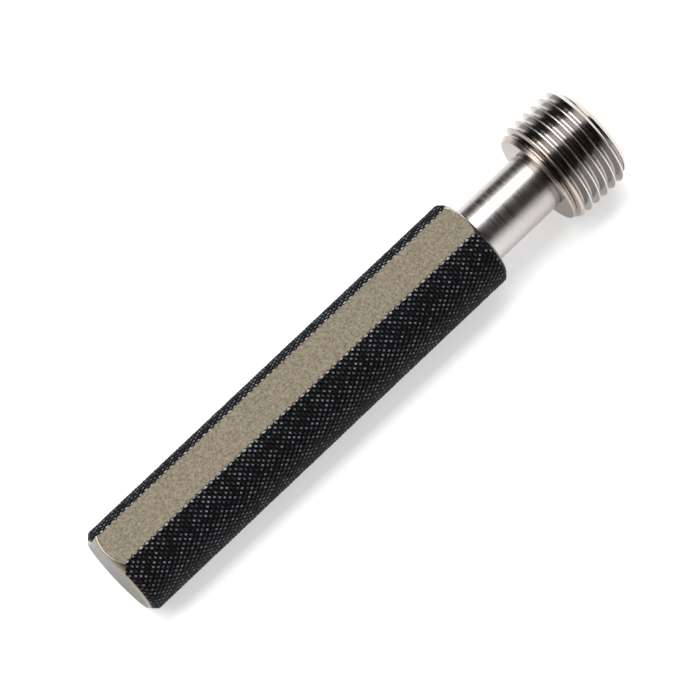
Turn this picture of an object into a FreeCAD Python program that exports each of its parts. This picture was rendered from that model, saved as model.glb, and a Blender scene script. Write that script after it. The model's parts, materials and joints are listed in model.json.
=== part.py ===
"""Taper-lock thread plug gauge: a knurled handle and a gauging member with a left-hand thread.

Both pieces are drawn about the gauge's axis, which runs along +X from the butt face at x = 0 to
the front face of the threaded head.  The handle's two marking flats face up and down.  The
finished gauge is then laid as it rests: on the butt end of the lower flat and on the rearmost
full crest of the thread, with the origin on the floor under the middle of the gauge.
"""

import FreeCAD, Part
import math
import os

# Handle: round bar with a diamond knurl, two milled flats and a blind taper bore
HANDLE_LENGTH = 67.5
KNURL_DIAMETER = 14.1         # over the crests of the knurl
ACROSS_FLATS = 12.75
BUTT_CHAMFER = 1.15
TOP_CHAMFER = 0.9
CHAMFER_CROWN = 0.06          # how far the end chamfers bulge out of a true cone
BORE_MOUTH_CHAMFER = 0.2
BORE_RUNOUT = 2.5             # bore depth past the end of the shank
DRILL_POINT_ANGLE = 118.0

# Gauging member: taper shank, neck and threaded head, turned and ground as one piece
SHANK_LENGTH = 24.0
TAPER_RATIO = 50.0            # the diameter falls by 1 in this length
SHANK_END_CHAMFER = 0.4
NECK_DIAMETER = 9.0
NECK_LENGTH = 12.0            # from the handle's top face to the back of the head
RELIEF_WIDTH = 0.35           # grinding relief in the corner of the neck and the head
RELIEF_DEPTH = 0.15
HEAD_LENGTH = 10.6

# Thread: 60 degree metric form, single start, left-hand
THREAD_DIAMETER = 16.0
PITCH = 1.5
LEFT_HAND = True
FLANK_ANGLE = 60.0            # between the two flanks
CREST_LAND = PITCH / 8
ROOT_LAND = 0.25
CREST_FROM_BACK = 0.95        # back of the head to the first crest line on the underside
BACK_CHAMFER_ANGLE = 30.0     # from the axis; the chamfer runs down to the thread's root
FRONT_CHAMFER = 1.55
CUTTER_OVERLAP = 0.08         # how far the groove cutter stands out of the crests

# Centre holes that the gauging member was ground between
CENTRE_MOUTH_DIAMETER = 3.0
CENTRE_PILOT_DIAMETER = 1.25
CENTRE_PILOT_LENGTH = 1.4
CENTRE_ANGLE = 60.0
SHANK_CENTRE_SCALE = 0.8      # the shank's centre hole is smaller than the head's

# Worked out from the sizes above
KNURL_RADIUS = KNURL_DIAMETER / 2
FLAT_RADIUS = ACROSS_FLATS / 2
NECK_RADIUS = NECK_DIAMETER / 2
SHANK_START = HANDLE_LENGTH - SHANK_LENGTH
SHANK_END_RADIUS = NECK_RADIUS - SHANK_LENGTH / TAPER_RATIO / 2
HEAD_BACK = HANDLE_LENGTH + NECK_LENGTH
HEAD_FRONT = HEAD_BACK + HEAD_LENGTH
THREAD_RADIUS = THREAD_DIAMETER / 2
FLANK_SLOPE = math.tan(math.radians(FLANK_ANGLE / 2))
THREAD_DEPTH = (PITCH - CREST_LAND - ROOT_LAND) / 2 / FLANK_SLOPE
ROOT_RADIUS = THREAD_RADIUS - THREAD_DEPTH
BACK_CHAMFER_LENGTH = THREAD_DEPTH / math.tan(math.radians(BACK_CHAMFER_ANGLE))

AXIS = FreeCAD.Vector(1, 0, 0)
ORIGIN = FreeCAD.Vector(0, 0, 0)


def revolved(outline, crowned_sides=()):
    """Solid of revolution about the gauge's axis from a closed outline of (x, radius) points.

    The sides whose starting points are listed in crowned_sides are shallow arcs, not straight.
    """
    points = [FreeCAD.Vector(x, 0, radius) for x, radius in outline]
    edges = []
    for number, start in enumerate(points):
        end = points[(number + 1) % len(points)]
        if number in crowned_sides:
            along = (end - start).normalize()
            outward = FreeCAD.Vector(-along.z, 0, along.x)
            middle = (start + end) * 0.5 + outward * CHAMFER_CROWN
            edges.append(Part.Arc(start, middle, end).toShape())
        else:
            edges.append(Part.LineSegment(start, end).toShape())
    return Part.Face(Part.Wire(edges)).revolve(ORIGIN, AXIS, 360)


def handle():
    """Round handle with crowned end chamfers, a blind taper bore and two marking flats."""
    bore_depth = SHANK_LENGTH + BORE_RUNOUT
    bore_start = HANDLE_LENGTH - bore_depth
    bore_end_radius = NECK_RADIUS - bore_depth / TAPER_RATIO / 2
    drill_point = bore_end_radius / math.tan(math.radians(DRILL_POINT_ANGLE / 2))
    mouth_start = HANDLE_LENGTH - BORE_MOUTH_CHAMFER
    mouth_start_radius = NECK_RADIUS - BORE_MOUTH_CHAMFER / TAPER_RATIO / 2
    body = revolved([
        (0, 0),
        (0, KNURL_RADIUS - BUTT_CHAMFER),
        (BUTT_CHAMFER, KNURL_RADIUS),
        (HANDLE_LENGTH - TOP_CHAMFER, KNURL_RADIUS),
        (HANDLE_LENGTH, KNURL_RADIUS - TOP_CHAMFER),
        (HANDLE_LENGTH, mouth_start_radius + BORE_MOUTH_CHAMFER),
        (mouth_start, mouth_start_radius),
        (bore_start, bore_end_radius),
        (bore_start - drill_point, 0),
    ], crowned_sides=(1, 3))
    for side in (1, -1):
        middle = side * (FLAT_RADIUS + KNURL_RADIUS / 2)
        milled = Part.makeBox(HANDLE_LENGTH, KNURL_DIAMETER, KNURL_RADIUS)
        milled.translate(FreeCAD.Vector(0, -KNURL_RADIUS, middle - KNURL_RADIUS / 2))
        body = body.cut(milled)
    return body


def centre_hole(x, direction, scale):
    """Centre hole as a solid, opening on the face at x and going in along direction."""
    mouth = scale * CENTRE_MOUTH_DIAMETER / 2
    pilot = scale * CENTRE_PILOT_DIAMETER / 2
    cone_depth = (mouth - pilot) / math.tan(math.radians(CENTRE_ANGLE / 2))
    pilot_end = cone_depth + scale * CENTRE_PILOT_LENGTH
    point = pilot / math.tan(math.radians(DRILL_POINT_ANGLE / 2))
    return revolved([
        (x, 0),
        (x, mouth),
        (x + direction * cone_depth, pilot),
        (x + direction * pilot_end, pilot),
        (x + direction * (pilot_end + point), 0),
    ])


def thread_groove():
    """The whole thread groove as one solid: a 60 degree profile swept along a left-hand helix."""
    first_groove = HEAD_BACK + CREST_FROM_BACK - PITCH / 2
    turns_before = math.ceil((first_groove - HEAD_BACK) / PITCH) + 1
    start = first_groove - turns_before * PITCH
    length = HEAD_FRONT + PITCH - start
    outer_radius = THREAD_RADIUS + CUTTER_OVERLAP
    outer_half = ROOT_LAND / 2 + (outer_radius - ROOT_RADIUS) * FLANK_SLOPE
    profile = Part.makePolygon([
        FreeCAD.Vector(ROOT_RADIUS, 0, -ROOT_LAND / 2),
        FreeCAD.Vector(outer_radius, 0, -outer_half),
        FreeCAD.Vector(outer_radius, 0, outer_half),
        FreeCAD.Vector(ROOT_RADIUS, 0, ROOT_LAND / 2),
        FreeCAD.Vector(ROOT_RADIUS, 0, -ROOT_LAND / 2),
    ])
    helix = Part.makeLongHelix(PITCH, length, ROOT_RADIUS, 0, LEFT_HAND)
    groove = Part.Wire(helix).makePipeShell([profile], True, True)
    groove.rotate(ORIGIN, FreeCAD.Vector(0, 1, 0), 90)
    groove.translate(FreeCAD.Vector(start, 0, 0))
    return groove


def gauging_member():
    """Taper shank, neck and threaded head, one piece, with its two centre holes."""
    blank = revolved([
        (SHANK_START, 0),
        (SHANK_START, SHANK_END_RADIUS - SHANK_END_CHAMFER),
        (SHANK_START + SHANK_END_CHAMFER, SHANK_END_RADIUS + SHANK_END_CHAMFER / TAPER_RATIO / 2),
        (HANDLE_LENGTH, NECK_RADIUS),
        (HEAD_BACK - RELIEF_WIDTH, NECK_RADIUS),
        (HEAD_BACK - RELIEF_WIDTH, NECK_RADIUS - RELIEF_DEPTH),
        (HEAD_BACK, NECK_RADIUS - RELIEF_DEPTH),
        (HEAD_BACK, ROOT_RADIUS),
        (HEAD_BACK + BACK_CHAMFER_LENGTH, THREAD_RADIUS),
        (HEAD_FRONT - FRONT_CHAMFER, THREAD_RADIUS),
        (HEAD_FRONT, THREAD_RADIUS - FRONT_CHAMFER),
        (HEAD_FRONT, 0),
    ])
    blank = blank.cut(centre_hole(HEAD_FRONT, -1, 1))
    blank = blank.cut(centre_hole(SHANK_START, 1, SHANK_CENTRE_SCALE))
    return blank.cut(thread_groove())


def rest_tilt(handle_shape):
    """Angle in degrees that lifts the head's end when both supports of the gauge touch.

    The supports are the butt end of the lower flat and the rearmost full crest of the thread.
    """
    lower_flat = min(handle_shape.Faces, key=lambda face: face.CenterOfMass.z)
    flat_start = lower_flat.optimalBoundingBox(False, False).XMin
    full_thread = BACK_CHAMFER_LENGTH + CREST_LAND / 2
    crest = CREST_FROM_BACK + PITCH * math.ceil((full_thread - CREST_FROM_BACK) / PITCH)
    crest_start = HEAD_BACK + crest - CREST_LAND / 2
    return math.degrees(math.atan2(THREAD_RADIUS - FLAT_RADIUS, crest_start - flat_start))


def lay_at_rest(handle_shape, shapes):
    """Tilt the shapes as they rest and bring the bottom centre of their box to the origin."""
    tilt = rest_tilt(handle_shape)
    box = FreeCAD.BoundBox()
    for shape in shapes:
        shape.rotate(ORIGIN, FreeCAD.Vector(0, 1, 0), -tilt)
        box.add(shape.optimalBoundingBox(False, False))
    for shape in shapes:
        shape.translate(FreeCAD.Vector(-box.Center.x, -box.Center.y, -box.ZMin))
    return tilt, box


def main():
    """Build both pieces, lay them at rest and write one STEP file each."""
    os.makedirs("parts", exist_ok=True)
    pieces = {"handle": handle(), "gauging_member": gauging_member()}
    tilt, box = lay_at_rest(pieces["handle"], list(pieces.values()))
    print(f"overall {box.XLength:.3f} x {box.YLength:.3f} x {box.ZLength:.3f}, tilt {tilt:.3f}")
    for name, shape in pieces.items():
        print(f"{name}: {len(shape.Solids)} solid, {shape.Volume:.1f} mm3, valid {shape.isValid()}")
        shape.exportStep(os.path.join("parts", name + ".step"))


main()
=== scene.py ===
"""Looks of a taper-lock thread plug gauge that lies at rest on a pale bench.

Both pieces are drawn in millimetres about the gauge's own axis, with x = 0 at the butt face and
the handle's two flats facing up and down, and are then carried to their place at rest.  Each one
is a closed mesh that stands for its solid in the CAD model.
"""

import json
import logging
import math
from dataclasses import dataclass
from enum import Enum, IntEnum

import bmesh
import bpy
from mathutils import Matrix, Vector, noise


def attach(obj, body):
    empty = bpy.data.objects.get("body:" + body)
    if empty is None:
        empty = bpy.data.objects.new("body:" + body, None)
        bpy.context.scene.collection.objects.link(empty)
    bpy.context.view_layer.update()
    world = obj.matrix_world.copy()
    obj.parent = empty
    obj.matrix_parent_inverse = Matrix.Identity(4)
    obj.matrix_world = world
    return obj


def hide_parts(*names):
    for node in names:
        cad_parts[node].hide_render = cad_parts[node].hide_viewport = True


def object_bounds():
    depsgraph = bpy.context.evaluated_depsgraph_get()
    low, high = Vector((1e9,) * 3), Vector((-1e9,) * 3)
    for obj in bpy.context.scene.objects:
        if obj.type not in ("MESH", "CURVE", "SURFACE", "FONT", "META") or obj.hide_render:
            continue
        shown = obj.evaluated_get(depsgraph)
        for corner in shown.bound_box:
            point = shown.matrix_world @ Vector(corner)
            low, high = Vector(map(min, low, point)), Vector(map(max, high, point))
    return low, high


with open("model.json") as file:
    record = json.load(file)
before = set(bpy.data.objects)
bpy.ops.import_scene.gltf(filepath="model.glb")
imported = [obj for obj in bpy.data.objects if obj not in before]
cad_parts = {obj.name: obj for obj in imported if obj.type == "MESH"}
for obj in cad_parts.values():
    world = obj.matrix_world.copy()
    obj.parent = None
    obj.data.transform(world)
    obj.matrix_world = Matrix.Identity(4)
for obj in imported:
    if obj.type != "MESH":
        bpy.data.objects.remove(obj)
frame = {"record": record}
CAD_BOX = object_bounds()

LOG = logging.getLogger("thread_plug_gauge")
MM = 0.001
AXIS = Vector((1.0, 0.0, 0.0))
Socket = bpy.types.NodeSocket
Tree = bpy.types.NodeTree


class Slot(Enum):
    """Names of material slots of the record."""

    BLACKENED = "blackened_steel"
    GROUND = "ground_steel"


class HandleFace(IntEnum):
    """Kinds of surface on the handle, in the order of its material slots."""

    KNURL = 0
    FLAT = 1
    END = 2
    BORE = 3


class MemberFace(IntEnum):
    """Kinds of surface on the gauging member, in the order of its material slots."""

    NECK = 0
    BACK = 1
    CHAMFER = 2
    THREAD = 3
    FRONT = 4
    CENTRE = 5


def linear(colour: str) -> tuple[float, float, float, float]:
    """Turn an sRGB hex colour into linear RGBA.

    Args:
        colour: the colour as "#rrggbb".

    Returns:
        Linear red, green and blue, and an alpha of 1.
    """
    parts = [int(colour[i : i + 2], 16) / 255.0 for i in (1, 3, 5)]
    r, g, b = (c / 12.92 if c <= 0.04045 else ((c + 0.055) / 1.055) ** 2.4 for c in parts)
    return (r, g, b, 1.0)


def smoothstep(low: float, high: float, value: float) -> float:
    """Rise smoothly from 0 at low to 1 at high."""
    t = min(max((value - low) / (high - low), 0.0), 1.0)
    return t * t * (3.0 - 2.0 * t)


def add_node(tree: Tree, kind: str, inputs: dict | None = None, **settings) -> bpy.types.Node:
    """Add a node with its settings, values and links.

    Args:
        tree: the node tree that gets the node.
        kind: the node's type name.
        inputs: for an input's name or number, the value it holds or the socket that feeds it.
        **settings: attributes of the node itself.

    Returns:
        The new node.
    """
    node = tree.nodes.new(kind)
    for name, value in settings.items():
        setattr(node, name, value)
    for key, value in (inputs or {}).items():
        if isinstance(value, Socket):
            tree.links.new(value, node.inputs[key])
        else:
            node.inputs[key].default_value = value
    return node


@dataclass(frozen=True)
class RestPlace:
    """Where the gauge's own axis lies once the gauge rests on the bench."""

    butt: Vector
    along: Vector

    @classmethod
    def from_record(cls, record: dict) -> "RestPlace":
        """Read the axis from the butt face that the record names.

        Args:
            record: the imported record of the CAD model.

        Returns:
            The place at rest.
        """
        face = next(mount for mount in record["mounts"] if mount["name"] == "butt_face")
        place = Vector(face["pos_m"])
        return cls(Vector((place.x, 0.0, place.z)), -Vector(face["axis"]).normalized())

    def matrix(self) -> Matrix:
        """Matrix from the gauge's own millimetres to the metres of the row's frame."""
        across = Vector((0.0, 1.0, 0.0))
        turn = Matrix((self.along, across, self.along.cross(across))).transposed()
        return Matrix.Translation(self.butt) @ turn.to_4x4() @ Matrix.Scale(MM, 4)

    def own_millimetres(self, tree: Tree) -> Socket:
        """Object coordinates in millimetres about the gauge's own axis.

        Args:
            tree: the material's node tree.

        Returns:
            The socket that gives them.
        """
        place, turn, scale = self.matrix().inverted().decompose()
        inputs = {
            "Vector": add_node(tree, "ShaderNodeTexCoord").outputs["Object"],
            "Location": place,
            "Rotation": turn.to_euler(),
            "Scale": scale,
        }
        return add_node(tree, "ShaderNodeMapping", inputs).outputs["Vector"]


@dataclass(frozen=True)
class Finish:
    """What the materials of both pieces have in common."""

    name: str
    place: RestPlace

    def start(self) -> tuple[bpy.types.Material, Tree, Socket]:
        """Start the material.

        Returns:
            The material, its empty node tree and the gauge's own millimetres.
        """
        material = bpy.data.materials.new(self.name)
        material.use_nodes = True
        material.node_tree.nodes.clear()
        return material, material.node_tree, self.place.own_millimetres(material.node_tree)

    def close(self, tree: Tree, inputs: dict) -> None:
        """Close the tree with the surface shader and the output.

        Args:
            tree: the material's node tree.
            inputs: values and sockets for the surface shader.
        """
        shader = add_node(tree, "ShaderNodeBsdfPrincipled", inputs)
        add_node(tree, "ShaderNodeOutputMaterial", {"Surface": shader.outputs["BSDF"]})


@dataclass(frozen=True)
class BlackOxideKnurl(Finish):
    """Knurled bar steel, hot blackened, with its end chamfers turned bright afterwards.

    The salt bath leaves a blue-black skin with a low sheen.  Patches of the diamonds' tips are
    painted a bluish grey, partly wear from handling and partly a painted highlight of their
    glints, and the grooves are painted near black, a painted shade in the knurl's hollows.
    """

    # Grooves: near black, a painted shade down in the knurl's hollows.
    groove: str = "#020202"
    tip: str = "#17181b"
    # Bluish grey of the tips in patches: handling wear, and a painted highlight for the glints on the
    # tips.
    worn_tip_and_glint: str = "#7b808c"
    bare: str = "#a89e8f"
    bare_dark: str = "#7d7365"
    # Near white along the flats' edges: rubbed bare steel, with a painted highlight for the light those
    # edges catch.
    burnished_edge_highlight: str = "#f5f0ea"
    flat_mm: float = 6.375
    edge_mm: float = 0.11
    tooth_highlight: float = 0.4
    wear_and_glint_mm: float = 0.8
    border_mm: float = 0.25

    def material(self) -> bpy.types.Material:
        """Build the material of the knurl and of the chamfers at its ends."""
        material, tree, own = self.start()
        relief = add_node(tree, "ShaderNodeAttribute", attribute_name="relief").outputs["Fac"]
        bare = add_node(tree, "ShaderNodeAttribute", attribute_name="bare").outputs["Fac"]
        # Patches of the tips turn bluish grey: handling wear, and a painted highlight that stands in for
        # the glints on the tips.
        wear_and_glint = add_node(
            tree, "ShaderNodeTexNoise", {"Vector": own, "Scale": 1 / self.wear_and_glint_mm, "Detail": 3.0}
        )
        wear_and_glint = add_node(
            tree, "ShaderNodeMapRange", {0: wear_and_glint.outputs["Fac"], 1: 0.42, 2: 0.64},
            interpolation_type="SMOOTHSTEP",
        )
        tip = add_node(
            tree, "ShaderNodeMix",
            {0: wear_and_glint.outputs[0], 6: linear(self.tip), 7: linear(self.worn_tip_and_glint)}, data_type="RGBA",
        )
        # Relief blends the groove colour into the tip colour: the near-black grooves are a painted
        # shade.
        height = add_node(
            tree, "ShaderNodeMapRange", {0: relief, 1: 0.72, 2: 1.0},
            interpolation_type="SMOOTHSTEP",
        )
        black = add_node(
            tree, "ShaderNodeMix",
            {0: height.outputs[0], 6: linear(self.groove), 7: tip.outputs[2]}, data_type="RGBA",
        )
        ragged = add_node(
            tree, "ShaderNodeTexNoise", {"Vector": own, "Scale": 1 / self.border_mm, "Detail": 2.0}
        )
        edge = add_node(
            tree, "ShaderNodeMath", {0: ragged.outputs["Fac"], 1: 0.12, 2: -0.06},
            operation="MULTIPLY_ADD",
        )
        edge = add_node(tree, "ShaderNodeMath", {0: edge.outputs[0], 1: bare}, operation="ADD")
        mask = add_node(
            tree, "ShaderNodeMapRange", {0: edge.outputs[0], 1: -0.03, 2: 0.03},
            interpolation_type="SMOOTHSTEP",
        ).outputs[0]
        bright = add_node(
            tree, "ShaderNodeMix",
            {0: ragged.outputs["Fac"], 6: linear(self.bare_dark), 7: linear(self.bare)},
            data_type="RGBA",
        )
        colour = add_node(
            tree, "ShaderNodeMix", {0: mask, 6: black.outputs[2], 7: bright.outputs[2]},
            data_type="RGBA",
        )
        # Near the edges of both flats, teeth and bare steel are painted near white: a painted highlight
        # on the rubbed edges.
        height = add_node(
            tree, "ShaderNodeSeparateXYZ", {"Vector": own}
        ).outputs["Z"]
        height = add_node(tree, "ShaderNodeMath", {0: height}, operation="ABSOLUTE").outputs[0]
        rubbed_edge_highlight = add_node(
            tree, "ShaderNodeMapRange",
            {0: height, 1: self.flat_mm - self.edge_mm, 2: self.flat_mm - 0.7 * self.edge_mm},
            interpolation_type="SMOOTHSTEP",
        ).outputs[0]
        highlight_on_teeth = add_node(
            tree, "ShaderNodeMath", {0: relief, 1: self.tooth_highlight}, operation="MULTIPLY",
        ).outputs[0]
        highlight_on_teeth = add_node(
            tree, "ShaderNodeMath", {0: highlight_on_teeth, 1: mask}, operation="MAXIMUM",
        ).outputs[0]
        rubbed_edge_highlight = add_node(
            tree, "ShaderNodeMath", {0: rubbed_edge_highlight, 1: highlight_on_teeth}, operation="MULTIPLY", use_clamp=True,
        ).outputs[0]
        colour = add_node(
            tree, "ShaderNodeMix",
            {0: rubbed_edge_highlight, 6: colour.outputs[2], 7: linear(self.burnished_edge_highlight)}, data_type="RGBA",
        )
        rough = add_node(tree, "ShaderNodeMapRange", {0: mask, 3: 0.5, 4: 0.32})
        bump = add_node(
            tree, "ShaderNodeBump",
            {"Height": ragged.outputs["Fac"], "Strength": 0.35, "Distance": 0.02 * MM},
        )
        self.close(tree, {
            "Base Color": colour.outputs[2],
            "Metallic": mask,
            "Specular IOR Level": 0.12,
            "Roughness": rough.outputs[0],
            "Normal": bump.outputs["Normal"],
        })
        return material


@dataclass(frozen=True)
class MottledSteel(Finish):
    """Steel with an even, fine-grained surface that scatters light.

    Grit blasting leaves a matte beige grey with soft darker and lighter specks a few tenths of a
    millimetre wide; the same build serves the finer satin of a turned face.
    """

    light: str = "#8c8474"
    dark: str = "#5e5647"
    grain_mm: float = 0.34
    depth_mm: float = 0.012
    rough: float = 0.55
    metallic: float = 0.85

    def material(self) -> bpy.types.Material:
        """Build the material."""
        material, tree, own = self.start()
        grain = add_node(
            tree, "ShaderNodeTexNoise",
            {"Vector": own, "Scale": 1 / self.grain_mm, "Detail": 3.0, "Roughness": 0.6},
        )
        spread = add_node(
            tree, "ShaderNodeMapRange", {0: grain.outputs["Fac"], 1: 0.3, 2: 0.7},
        )
        colour = add_node(
            tree, "ShaderNodeMix",
            {0: spread.outputs[0], 6: linear(self.dark), 7: linear(self.light)}, data_type="RGBA",
        )
        bump = add_node(
            tree, "ShaderNodeBump",
            {"Height": grain.outputs["Fac"], "Strength": 1.0, "Distance": self.depth_mm * MM},
        )
        self.close(tree, {
            "Base Color": colour.outputs[2],
            "Metallic": self.metallic,
            "Roughness": self.rough,
            "Normal": bump.outputs["Normal"],
        })
        return material


@dataclass(frozen=True)
class TurnedSteel(Finish):
    """Steel turned or cylindrically ground, with fine rings that follow the turning.

    The rings draw each reflection out along the axis, so the lights show as long soft bands.
    """

    colour: str = "#bdbab8"
    warm: str = "#7a6350"
    rough: float = 0.2
    ring_mm: float = 0.22
    ring_depth_mm: float = 0.002

    def material(self) -> bpy.types.Material:
        """Build the material."""
        material, tree, own = self.start()
        # A brown tint, set per point by the warm attribute and broken up by a broad noise.
        brown_tint = add_node(tree, "ShaderNodeAttribute", attribute_name="warm").outputs["Fac"]
        stretch = add_node(
            tree, "ShaderNodeMapping",
            {"Vector": own, "Scale": (1 / self.ring_mm, 0.15, 0.15)},
        )
        rings = add_node(
            tree, "ShaderNodeTexNoise",
            {"Vector": stretch.outputs[0], "Scale": 1.0, "Detail": 3.0, "Roughness": 0.55},
        )
        cloud = add_node(tree, "ShaderNodeTexNoise", {"Vector": own, "Scale": 0.8, "Detail": 2.0})
        amount = add_node(
            tree, "ShaderNodeMath", {0: cloud.outputs["Fac"], 1: 0.6, 2: 0.7},
            operation="MULTIPLY_ADD",
        )
        amount = add_node(
            tree, "ShaderNodeMath", {0: amount.outputs[0], 1: brown_tint}, operation="MULTIPLY",
            use_clamp=True,
        )
        colour = add_node(
            tree, "ShaderNodeMix",
            {0: amount.outputs[0], 6: linear(self.colour), 7: linear(self.warm)},
            data_type="RGBA",
        )
        rough = add_node(
            tree, "ShaderNodeMapRange",
            {0: rings.outputs["Fac"], 1: 0.3, 2: 0.7, 3: self.rough * 0.8, 4: self.rough * 1.2},
        )
        bump = add_node(
            tree, "ShaderNodeBump",
            {"Height": rings.outputs["Fac"], "Strength": 1.0, "Distance": self.ring_depth_mm * MM},
        )
        self.close(tree, {
            "Base Color": colour.outputs[2],
            "Metallic": 1.0,
            "Roughness": rough.outputs[0],
            "Normal": bump.outputs["Normal"],
        })
        return material


def revolve(bm: bmesh.types.BMesh, outline: list[tuple[float, float]], steps: int) -> list:
    """Spin an open outline round the gauge's axis.

    Args:
        bm: the mesh that gets the surface.
        outline: (x, radius) points, in order.
        steps: facets round the axis.

    Returns:
        The new faces.
    """
    before = set(bm.faces)
    verts = [bm.verts.new((x, 0.0, radius)) for x, radius in outline]
    edges = [bm.edges.new(pair) for pair in zip(verts, verts[1:])]
    bmesh.ops.spin(
        bm, geom=verts + edges, cent=(0, 0, 0), axis=AXIS, dvec=(0, 0, 0), angle=math.tau,
        steps=steps, use_merge=True, use_duplicate=False,
    )
    bmesh.ops.remove_doubles(bm, verts=bm.verts, dist=1e-5)
    return [face for face in bm.faces if face not in before]


def ring_edges(bm: bmesh.types.BMesh, x: float, radius: float) -> list:
    """Edges of the circle of that radius at x."""
    on_ring = {
        vert for vert in bm.verts
        if abs(vert.co.x - x) < 2e-3 and abs(vert.co.yz.length - radius) < 2e-3
    }
    return [edge for edge in bm.edges if on_ring.issuperset(edge.verts)]


def break_edge(bm: bmesh.types.BMesh, edges: list, width: float) -> None:
    """Round edges off a little, as a file or a stone leaves them.

    Args:
        bm: the mesh.
        edges: the edges to round.
        width: how far the rounding runs in from each edge.
    """
    bmesh.ops.bevel(
        bm, geom=edges, offset=width, offset_type="OFFSET", segments=2, profile=0.5,
        affect="EDGES", material=-1, clamp_overlap=True,
    )


def sharpen(bm: bmesh.types.BMesh, limit: float) -> None:
    """Shade every face smooth, but keep edges crisp where the faces turn by more than limit."""
    for face in bm.faces:
        face.smooth = True
    for edge in bm.edges:
        edge.smooth = len(edge.link_faces) == 2 and edge.calc_face_angle(0.0) < limit


def as_object(bm: bmesh.types.BMesh, name: str, materials: list, place: Matrix) -> bpy.types.Object:
    """Carry a finished mesh to its place and make it an object at the origin.

    Args:
        bm: the mesh, in the gauge's own millimetres; it is freed.
        name: the object's name.
        materials: its materials, in slot order.
        place: matrix from those millimetres to the row's frame.

    Returns:
        The object.
    """
    bmesh.ops.transform(bm, matrix=place, verts=bm.verts)
    mesh = bpy.data.meshes.new(name)
    bm.to_mesh(mesh)
    bm.free()
    for material in materials:
        mesh.materials.append(material)
    piece = bpy.data.objects.new(name, mesh)
    bpy.context.scene.collection.objects.link(piece)
    return piece


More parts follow.
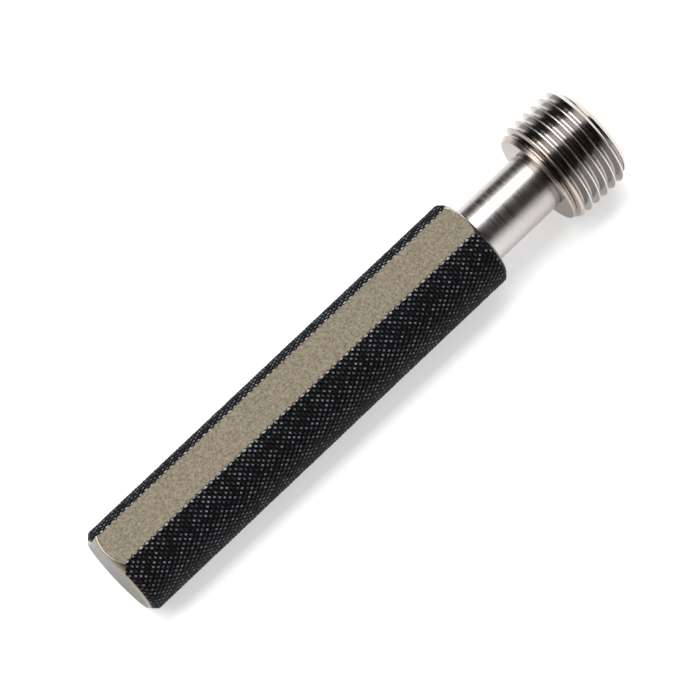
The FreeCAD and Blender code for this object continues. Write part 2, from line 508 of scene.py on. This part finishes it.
@dataclass
class KnurledHandle:
    """Round handle with a diamond knurl, two milled flats and a blind taper bore, in mm."""

    place: RestPlace
    length: float = 67.5
    radius: float = 7.05
    flat_radius: float = 6.375
    butt_chamfer: float = 1.15
    top_chamfer: float = 0.9
    crown: float = 0.085
    face_break: float = 0.05
    starts: int = 50
    right_pitch: float = 1.20
    left_pitch: float = 0.91
    groove_depth: float = 0.2
    bare_rim: float = 0.3
    neck_radius: float = 4.5
    bore_depth: float = 26.5
    taper_ratio: float = 50.0
    mouth_chamfer: float = 0.2
    drill_point: float = 2.54
    bore_steps: int = 96

    def profile(self, x: float) -> float:
        """Radius over the knurl's tips at x, with the crowned chamfers at both ends."""
        for chamfer, inward in ((self.butt_chamfer, x), (self.top_chamfer, self.length - x)):
            if inward < chamfer:
                t = inward / chamfer
                radius = self.radius - chamfer * (1 - t) + self.crown * 4 * t * (1 - t)
                return radius - (self.face_break * 0.8 if inward < 1e-3 else 0.0)
        return self.radius

    def beyond_flat(self, turn: float) -> float:
        """Degrees from the nearer corner of a flat, or 0 on the flat itself."""
        corner = math.degrees(math.acos(self.flat_radius / self.radius))
        return max(abs(abs((turn % 360) - 180) - 90) - corner, 0.0)

    def bare_width(self, x: float, turn: float) -> float:
        """How much of the end chamfer is bare at that turn, in degrees from +Y towards +Z.

        Args:
            x: place along the axis, which says which end is nearer.
            turn: angle round the axis.

        Returns:
            Width of the bare zone, measured along the axis from the end face.
        """
        chamfer = self.butt_chamfer if x < self.length / 2 else self.top_chamfer
        narrow = min(self.beyond_flat(turn) / 9.0, 1.0)
        return chamfer * 1.1 + (self.bare_rim - chamfer * 1.1) * narrow

    def knurl_sheet(self) -> bmesh.types.BMesh:
        """Draw the knurl unrolled: x along the bar, y round it, z up from the grooves.

        Returns:
            The flat sheet, cut square at both ends of the handle.
        """
        bm = bmesh.new()
        step = 1 / (1 / self.right_pitch + 1 / self.left_pitch)
        rows = math.ceil(self.length / step) + self.starts + 4
        cells = Matrix.Diagonal((self.starts, rows, 1, 1)) @ Matrix.Translation((0.5, 0.5, 0))
        lead = Matrix.Translation((0, -self.starts - 2, 0))
        round_bar = math.tau * self.radius / self.starts
        slant = Matrix((
            (step, step, 0, 0),
            (round_bar * (1 - step / self.right_pitch), -round_bar * step / self.right_pitch, 0, 0),
            (0, 0, 1, 0),
            (0, 0, 0, 1),
        ))
        bmesh.ops.create_grid(
            bm, x_segments=self.starts, y_segments=rows, size=0.5, matrix=slant @ lead @ cells
        )
        away = [
            face for face in bm.faces
            if not -1.2 < face.calc_center_median().x < self.length + 1.2
        ]
        bmesh.ops.delete(bm, geom=away, context="FACES")
        diamonds = list(bm.faces)
        bmesh.ops.recalc_face_normals(bm, faces=bm.faces)
        if diamonds[0].normal.z < 0:
            bmesh.ops.reverse_faces(bm, faces=bm.faces)
        for width, rise in ((0.17, 0.75), (0.07, 0.25)):
            bmesh.ops.inset_individual(
                bm, faces=diamonds, thickness=width, depth=self.groove_depth * rise,
                use_even_offset=True,
            )
        return bm

    def rows_across(self, bm: bmesh.types.BMesh) -> None:
        """Cut the sheet to length and give it the edges that the end chamfers bend along."""
        for x, outward in ((0.0, -1), (self.length, 1)):
            bmesh.ops.bisect_plane(
                bm, geom=bm.verts[:] + bm.edges[:] + bm.faces[:], dist=1e-5,
                plane_co=(x, 0, 0), plane_no=(outward, 0, 0), clear_outer=True,
            )
        cuts = [self.face_break, self.length - self.face_break]
        cuts += [self.butt_chamfer * t for t in (0.25, 0.5, 0.75, 1.0)]
        cuts += [self.length - self.top_chamfer * t for t in (0.3, 0.65, 1.0)]
        for x in cuts:
            bmesh.ops.bisect_plane(
                bm, geom=bm.verts[:] + bm.edges[:] + bm.faces[:], dist=1e-5,
                plane_co=(x, 0, 0), plane_no=(1, 0, 0),
            )

    def roll_up(self, bm: bmesh.types.BMesh) -> None:
        """Bend the sheet round the bar and note how high and how bare each point is.

        Args:
            bm: the unrolled sheet.
        """
        relief = bm.verts.layers.float.new("relief")
        bare = bm.verts.layers.float.new("bare")
        for vert in bm.verts:
            x, angle = vert.co.x, vert.co.y / self.radius
            width = self.bare_width(x, math.degrees(angle))
            inward = min(x, self.length - x)
            height = vert.co.z / self.groove_depth
            marked = smoothstep(width - 0.1, width + 0.35, inward)
            marked *= 0.5 + 0.5 * smoothstep(0.0, 9.0, self.beyond_flat(math.degrees(angle)))
            vert[relief] = height
            vert[bare] = min(max(width - inward, -1.0), 1.0)
            radius = self.profile(x) - self.groove_depth * (1 - height) * marked
            vert.co = (x, radius * math.cos(angle), radius * math.sin(angle))
            if height > 0.1:
                uneven = noise.noise_vector(vert.co * 0.9)
                radius += 0.03 * (uneven.x - 0.4) * marked * height
                vert.co = (x, radius * math.cos(angle), radius * math.sin(angle))
                vert.co += uneven.cross(vert.co.normalized()) * 0.03 * marked
        bmesh.ops.remove_doubles(bm, verts=bm.verts, dist=1e-3)
        for face in bm.faces:
            face.smooth = True
        for edge in bm.edges:
            low = all(vert[relief] < 0.02 and vert[bare] < 0.0 for vert in edge.verts)
            edge.smooth = not low

    def close_ends(self, bm: bmesh.types.BMesh) -> None:
        """Close the butt with a face, and join the top to the mouth of the taper bore.

        Args:
            bm: the rolled-up knurl, open at both ends.
        """
        butt = [e for e in bm.edges if e.is_boundary and e.verts[0].co.x < 1e-3]
        top = [e for e in bm.edges if e.is_boundary and e.verts[0].co.x > self.length - 1e-3]
        made = bmesh.ops.edgeloop_fill(bm, edges=butt)["faces"]
        start = self.length - self.mouth_chamfer
        taper = 0.5 / self.taper_ratio
        mouth = self.neck_radius - self.mouth_chamfer * taper
        deep = self.neck_radius - self.bore_depth * taper
        bore = revolve(bm, [
            (self.length, mouth + self.mouth_chamfer),
            (start, mouth),
            (self.length - self.bore_depth, deep),
            (self.length - self.bore_depth - self.drill_point, 0.0),
        ], self.bore_steps)
        rim = ring_edges(bm, self.length, mouth + self.mouth_chamfer)
        made += bmesh.ops.bridge_loops(bm, edges=top + rim)["faces"]
        for faces, kind in ((made, HandleFace.END), (bore, HandleFace.BORE)):
            for face in faces:
                face.material_index = kind
                face.smooth = kind == HandleFace.BORE

    def mill_flats(self, bm: bmesh.types.BMesh) -> None:
        """Mill both flats, so that the knurl's grooves run out in a toothed border."""
        for side in (1, -1):
            up = Vector((0, 0, side))
            bmesh.ops.bisect_plane(
                bm, geom=bm.verts[:] + bm.edges[:] + bm.faces[:], dist=1e-5,
                plane_co=up * self.flat_radius, plane_no=up, clear_outer=True,
            )
            border = [edge for edge in bm.edges if edge.is_boundary]
            for face in bmesh.ops.edgeloop_fill(bm, edges=border)["faces"]:
                face.material_index = HandleFace.FLAT
                face.smooth = False

    def finishes(self) -> list[bpy.types.Material]:
        """Materials in the order of HandleFace."""
        place = self.place
        return [
            BlackOxideKnurl("black_oxide_knurled_steel", place).material(),
            MottledSteel("grit_blasted_steel", place).material(),
            MottledSteel(
                "satin_turned_end_face", place, light="#5c5956", dark="#45423f", rough=0.4,
                metallic=1.0,
            ).material(),
            TurnedSteel("reamed_steel_bore", place, colour="#77726c").material(),
        ]

    def build(self) -> bpy.types.Object:
        """Build the handle and set it in the frame."""
        bm = self.knurl_sheet()
        self.rows_across(bm)
        self.roll_up(bm)
        self.close_ends(bm)
        self.mill_flats(bm)
        bmesh.ops.recalc_face_normals(bm, faces=bm.faces)
        piece = as_object(bm, "knurled_handle", self.finishes(), self.place.matrix())
        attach(piece, "root")
        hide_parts("handle")
        return piece


@dataclass
class GaugingMember:
    """Taper shank, neck and left-hand threaded head, ground as one piece, in mm."""

    place: RestPlace
    handle_length: float = 67.5
    shank_length: float = 24.0
    shank_end_radius: float = 4.26
    shank_end_chamfer: float = 0.4
    neck_radius: float = 4.5
    neck_length: float = 12.0
    relief_width: float = 0.35
    relief_depth: float = 0.15
    head_length: float = 10.6
    thread_radius: float = 8.0
    root_radius: float = 7.08
    pitch: float = 1.5
    root_land: float = 0.25
    crest_from_back: float = 0.95
    crest_break: float = 0.045
    back_chamfer: float = 1.594
    front_chamfer: float = 1.55
    centre_mouth: float = 1.5
    centre_pilot: float = 0.625
    centre_pilot_length: float = 1.4
    shank_centre_scale: float = 0.8
    round_steps: int = 180
    thread_steps: int = 144

    @property
    def back(self) -> float:
        """Where the back face of the head lies."""
        return self.handle_length + self.neck_length

    @property
    def front(self) -> float:
        """Where the front face of the head lies."""
        return self.back + self.head_length

    def centre(self, x: float, inward: int, scale: float) -> list[tuple[float, float]]:
        """Outline of a centre hole, from its mouth in the face at x down to its point.

        Args:
            x: where the face lies.
            inward: +1 or -1, the way into the metal.
            scale: size against the head's own centre hole.

        Returns:
            (x, radius) points.
        """
        mouth, pilot = self.centre_mouth * scale, self.centre_pilot * scale
        cone = (mouth - pilot) * math.sqrt(3)
        bottom = cone + self.centre_pilot_length * scale
        return [
            (x, mouth),
            (x + inward * cone, pilot),
            (x + inward * bottom, pilot),
            (x + inward * (bottom + pilot * 0.6), 0.0),
        ]

    def blank(self) -> bmesh.types.BMesh:
        """Turn the whole member without its thread, with its edges broken."""
        bm = bmesh.new()
        start = self.handle_length - self.shank_length
        relief = self.neck_radius - self.relief_depth
        outline = self.centre(start, 1, self.shank_centre_scale)[::-1] + [
            (start, self.shank_end_radius - self.shank_end_chamfer),
            (start + self.shank_end_chamfer, self.shank_end_radius + 0.004),
            (self.handle_length, self.neck_radius),
            (self.back - self.relief_width, self.neck_radius),
            (self.back - self.relief_width, relief),
            (self.back, relief),
            (self.back, self.root_radius),
            (self.back + self.back_chamfer, self.thread_radius),
            (self.front - self.front_chamfer, self.thread_radius),
            (self.front, self.thread_radius - self.front_chamfer),
        ] + self.centre(self.front, -1, 1.0)
        revolve(bm, outline, self.round_steps)
        break_edge(bm, ring_edges(bm, self.back, self.root_radius), 0.07)
        break_edge(bm, ring_edges(bm, self.front, self.thread_radius - self.front_chamfer), 0.08)
        break_edge(bm, ring_edges(bm, self.front, self.centre_mouth), 0.06)
        break_edge(bm, ring_edges(bm, self.back - self.relief_width, self.neck_radius), 0.05)
        bmesh.ops.recalc_face_normals(bm, faces=bm.faces)
        for face in bm.faces:
            face.material_index = self.kind_of(face)
        return bm

    def kind_of(self, face: bmesh.types.BMFace) -> MemberFace:
        """Say which kind of surface a face of the blank is."""
        middle = face.calc_center_median()
        radius = middle.yz.length
        if radius < self.centre_mouth and abs(face.normal.x) < 0.95:
            return MemberFace.CENTRE
        if middle.x > self.front - 0.03:
            return MemberFace.FRONT
        if middle.x < self.back - 0.03 or radius < self.neck_radius:
            return MemberFace.NECK
        return MemberFace.BACK if middle.x < self.back + 0.03 else MemberFace.CHAMFER

    def groove(self) -> bmesh.types.BMesh:
        """Sweep the thread groove as one long cutter, closed at both ends."""
        bm = bmesh.new()
        slope = math.tan(math.radians(30))
        half = self.root_land / 2
        deep = self.root_radius
        top = self.thread_radius
        flank = [(deep, half * 0.7), (deep + 0.03, half + 0.03 * slope)]
        flank.append((top - self.crest_break, half + (top - self.crest_break - deep) * slope))
        flank.append((top + 0.002, half + (top - deep) * slope + 0.02))
        flank.append((top + 0.1, half + (top - deep) * slope + 0.05))
        turns = math.ceil(self.head_length / self.pitch) + 2
        x = self.back + self.crest_from_back + self.pitch * (turns - 2)
        points = [(x + w, 0.0, r) for r, w in flank] + [(x - w, 0.0, r) for r, w in flank[::-1]]
        verts = [bm.verts.new(point) for point in points]
        edges = [bm.edges.new((a, b)) for a, b in zip(verts, verts[1:] + verts[:1])]
        steps = self.thread_steps * turns
        bmesh.ops.spin(
            bm, geom=verts + edges, cent=(0, 0, 0), axis=AXIS,
            dvec=(-self.pitch / self.thread_steps, 0, 0), angle=math.tau * turns, steps=steps,
            use_merge=False, use_duplicate=False,
        )
        bmesh.ops.holes_fill(bm, edges=[e for e in bm.edges if e.is_boundary], sides=0)
        bmesh.ops.recalc_face_normals(bm, faces=bm.faces)
        for face in bm.faces:
            face.material_index = MemberFace.THREAD
        return bm

    def threaded(self, materials: list[bpy.types.Material]) -> bmesh.types.BMesh:
        """Cut the groove out of the blank, so that the thread runs out in both chamfers.

        Args:
            materials: the member's materials, in slot order.

        Returns:
            The threaded member.
        """
        blank = as_object(self.blank(), "member_blank", materials, Matrix())
        cutter = as_object(self.groove(), "groove_cutter", materials, Matrix())
        cut = blank.modifiers.new("thread", "BOOLEAN")
        cut.operation = "DIFFERENCE"
        cut.solver = "EXACT"
        cut.material_mode = "INDEX"
        cut.object = cutter
        result = blank.evaluated_get(bpy.context.evaluated_depsgraph_get())
        bm = bmesh.new()
        bm.from_mesh(result.to_mesh())
        result.to_mesh_clear()
        for helper in (blank, cutter):
            mesh = helper.data
            bpy.data.objects.remove(helper)
            bpy.data.meshes.remove(mesh)
        return bm

    def note_surface(self, bm: bmesh.types.BMesh) -> None:
        """Note at each point how strong a brown tint it gets, from 0 to 1, strongest near the back of
        the head.
        """
        warm = bm.verts.layers.float.new("warm")
        for vert in bm.verts:
            x, radius = vert.co.x, vert.co.yz.length
            near_back = smoothstep(self.back + 3.2, self.back + 0.2, x)
            neck_end = smoothstep(self.back - 1.6, self.back - 0.1, x) * 0.3
            near_front = smoothstep(self.front - 2.0, self.front, x) * 0.4
            if x < self.back - 0.01 or radius < self.root_radius - 0.5:
                vert[warm] = neck_end if x < self.back - 0.01 else 0.15
            else:
                vert[warm] = min(0.1 + 0.5 * near_back + near_front, 1.0)

    def finishes(self) -> list[bpy.types.Material]:
        """Materials in the order of MemberFace."""
        place = self.place
        return [
            TurnedSteel("cylindrically_ground_steel", place, rough=0.3, ring_depth_mm=0.0013).material(),
            # The back face gets a darker colour than the neck: a painted dark reflection of the neck in
            # the mirror-like face.
            TurnedSteel("polished_back_face", place, rough=0.16, colour="#74706a").material(),
            # Crests and chamfers get a lighter colour than the flanks: a painted highlight along the
            # crest lines.
            TurnedSteel("ground_thread_crests_painted_highlight", place, rough=0.28, colour="#d8d5d0").material(),
            TurnedSteel(
                "thread_ground_flanks", place, rough=0.18, colour="#a5a29f", ring_depth_mm=0.001
            ).material(),
            TurnedSteel("turned_front_face", place, rough=0.3, colour="#8c8781").material(),
            TurnedSteel("centre_hole_steel", place, rough=0.3, colour="#908b85").material(),
        ]

    def build(self) -> bpy.types.Object:
        """Build the gauging member and set it in the frame."""
        materials = self.finishes()
        bm = self.threaded(materials)
        bmesh.ops.remove_doubles(bm, verts=bm.verts, dist=2e-4)
        bmesh.ops.dissolve_degenerate(bm, edges=bm.edges, dist=2e-4)
        bmesh.ops.recalc_face_normals(bm, faces=bm.faces)
        self.note_surface(bm)
        sharpen(bm, math.radians(14))
        piece = as_object(bm, "threaded_gauging_member", materials, self.place.matrix())
        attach(piece, "root")
        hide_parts("gauging_member")
        return piece


@dataclass
class Studio:
    """Pale bench, soft lights and the camera, in metres."""

    bench_size: float = 6.0
    distance: float = 0.69
    lens: float = 260.4
    lean: float = 30.6
    drift: float = 10.4
    roll: float = 42.8

    def bench(self) -> bpy.types.Object:
        """Lay the pale bench, which shows white and keeps the gauge's shadow."""
        bm = bmesh.new()
        bmesh.ops.create_grid(bm, x_segments=1, y_segments=1, size=self.bench_size / 2)
        material = bpy.data.materials.new("matt_white_bench_paper")
        material.use_nodes = True
        tree = material.node_tree
        tree.nodes.clear()
        paper = add_node(
            tree, "ShaderNodeBsdfDiffuse", {"Color": linear("#e0e0e0"), "Roughness": 0.0}
        )
        rays = add_node(tree, "ShaderNodeLightPath")
        seen = add_node(
            tree, "ShaderNodeMath",
            {0: rays.outputs["Is Camera Ray"], 1: rays.outputs["Is Glossy Ray"]},
            operation="MAXIMUM",
        )
        seen = add_node(
            tree, "ShaderNodeMath",
            {0: seen.outputs[0], 1: rays.outputs["Is Transmission Ray"]}, operation="MAXIMUM",
        )
        amount = add_node(
            tree, "ShaderNodeMath", {0: seen.outputs[0], 1: 0.52}, operation="MULTIPLY"
        )
        glow = add_node(tree, "ShaderNodeEmission", {"Strength": amount.outputs[0]})
        both = add_node(tree, "ShaderNodeAddShader", {0: paper.outputs[0], 1: glow.outputs[0]})
        add_node(tree, "ShaderNodeOutputMaterial", {"Surface": both.outputs[0]})
        bench = as_object(bm, "bench", [material], Matrix())
        return bench

    def surround(self) -> None:
        """Give the room a pale backdrop and an even, low light."""
        world = bpy.data.worlds.new("pale_room")
        bpy.context.scene.world = world
        world.use_nodes = True
        tree = world.node_tree
        tree.nodes.clear()
        rays = add_node(tree, "ShaderNodeLightPath")
        seen = add_node(
            tree, "ShaderNodeMath",
            {0: rays.outputs["Is Camera Ray"], 1: rays.outputs["Is Glossy Ray"]},
            operation="MAXIMUM",
        )
        seen = add_node(
            tree, "ShaderNodeMath",
            {0: seen.outputs[0], 1: rays.outputs["Is Transmission Ray"]}, operation="MAXIMUM",
        )
        strength = add_node(tree, "ShaderNodeMapRange", {0: seen.outputs[0], 3: 0.45, 4: 1.0})
        sky = add_node(tree, "ShaderNodeBackground", {"Strength": strength.outputs[0]})
        add_node(tree, "ShaderNodeOutputWorld", {"Surface": sky.outputs[0]})

    def softbox(
        self, name: str, turn: float, far: float, size: tuple[float, float], power: float
    ) -> bpy.types.Object:
        """Hang a soft light over the bench.

        Args:
            name: the light's name.
            turn: degrees up from the near horizon, past 90 for a light behind the gauge.
            far: distance from the gauge.
            size: length along the gauge and width across it.
            power: the light's power in watts.

        Returns:
            The light.
        """
        light = bpy.data.lights.new(name, "AREA")
        light.shape = "RECTANGLE"
        light.size, light.size_y = size
        light.energy = power
        lamp = bpy.data.objects.new(name, light)
        angle = math.radians(turn)
        lamp.location = Vector((0.0, -math.cos(angle), math.sin(angle))) * far
        lamp.rotation_euler = (angle - math.pi / 2, 0.0, 0.0)
        lamp.visible_camera = False
        bpy.context.scene.collection.objects.link(lamp)
        return lamp

    def flag(
        self, name: str, rise: tuple[float, float], far: float, half: float, shade: str,
        around: float = 0.0,
    ) -> bpy.types.Object:
        """Stand a curved dark sheet that shows only in the metal's reflections: a painted reflection of
        a dark surround.

        Args:
            name: the card's name.
            rise: degrees up from the near horizon at its lower and upper edges.
            far: distance from the gauge.
            half: half its width.
            shade: its colour.
            around: degrees that it is carried round the upright from the near side.

        Returns:
            The card.
        """
        bm = bmesh.new()
        low, high = rise
        lower = Vector((-half, -far, 0.0))
        turn = Matrix.Rotation(math.radians(-low), 3, "X")
        first = bm.verts.new(turn @ lower)
        bmesh.ops.spin(
            bm, geom=[first], cent=(0, 0, 0), axis=AXIS, dvec=(0, 0, 0),
            angle=math.radians(low - high), steps=12, use_merge=False, use_duplicate=False,
        )
        made = bmesh.ops.extrude_edge_only(bm, edges=bm.edges[:])["geom"]
        moved = [part for part in made if isinstance(part, bmesh.types.BMVert)]
        bmesh.ops.translate(bm, verts=moved, vec=(2 * half, 0, 0))
        material = bpy.data.materials.new(name + "_reflection_sheet")
        material.use_nodes = True
        shader = material.node_tree.nodes["Principled BSDF"]
        shader.inputs["Base Color"].default_value = linear(shade)
        shader.inputs["Roughness"].default_value = 1.0
        shader.inputs["Specular IOR Level"].default_value = 0.0
        turned = Matrix.Rotation(math.radians(around), 4, "Z")
        card = as_object(bm, name, [material], turned)
        card.visible_camera = False
        card.visible_diffuse = False
        card.visible_shadow = False
        return card

    def camera(self) -> bpy.types.Object:
        """Set the camera above the near side, rolled so that the gauge points up and right."""
        lens = bpy.data.cameras.new("camera")
        lens.lens = self.lens
        lens.sensor_width = 36.0
        lens.clip_start, lens.clip_end = 0.01, 50.0
        lens.shift_x, lens.shift_y = -0.0086, -0.0043
        camera = bpy.data.objects.new("camera", lens)
        lean, drift, roll = (math.radians(a) for a in (self.lean, self.drift, self.roll))
        back = Vector((
            -math.sin(drift), -math.sin(lean) * math.cos(drift), math.cos(lean) * math.cos(drift)
        ))
        right = Vector((0.0, math.cos(lean), math.sin(lean))).cross(back).normalized()
        up = back.cross(right)
        turned = right * math.cos(roll) - up * math.sin(roll)
        upright = right * math.sin(roll) + up * math.cos(roll)
        middle = (CAD_BOX[0] + CAD_BOX[1]) / 2
        pose = Matrix((turned, upright, back)).transposed().to_4x4()
        camera.matrix_world = Matrix.Translation(middle + back * self.distance) @ pose
        bpy.context.scene.collection.objects.link(camera)
        bpy.context.scene.camera = camera
        return camera

    def build(self) -> None:
        """Set up the bench, the lights and the camera."""
        self.bench()
        self.surround()
        self.softbox("overhead_softbox", 108.0, 0.8, (1.8, 0.66), 14.0)
        self.softbox("front_strip", 6.0, 1.1, (1.8, 0.26), 5.0)
        # Dark sheets that show only in the metal: painted reflections of a dark surround.
        self.flag("near_flag", (15.0, 86.0), 2.2, 0.8, "#4f4943")
        self.flag("camera_side_flag", (15.0, 86.0), 2.4, 2.6, "#231f1c")
        self.flag("right_flag", (6.0, 80.0), 2.6, 2.2, "#231f1c", 90.0)
        self.flag("left_flag", (6.0, 80.0), 2.6, 2.2, "#35312e", -90.0)
        self.flag("back_flag", (136.0, 171.0), 2.4, 2.8, "#3a3836")
        self.camera()


def main() -> None:
    """Build both pieces and the studio, in order, and report each."""
    logging.basicConfig(level=logging.INFO, format="%(name)s: %(message)s")
    place = RestPlace.from_record(frame["record"])
    for maker in (KnurledHandle(place), GaugingMember(place)):
        piece = maker.build()
        LOG.info("%s: %d faces", piece.name, len(piece.data.polygons))
    Studio().build()
    bpy.context.scene.view_settings.view_transform = "Standard"


if __name__ == "__main__":
    main()
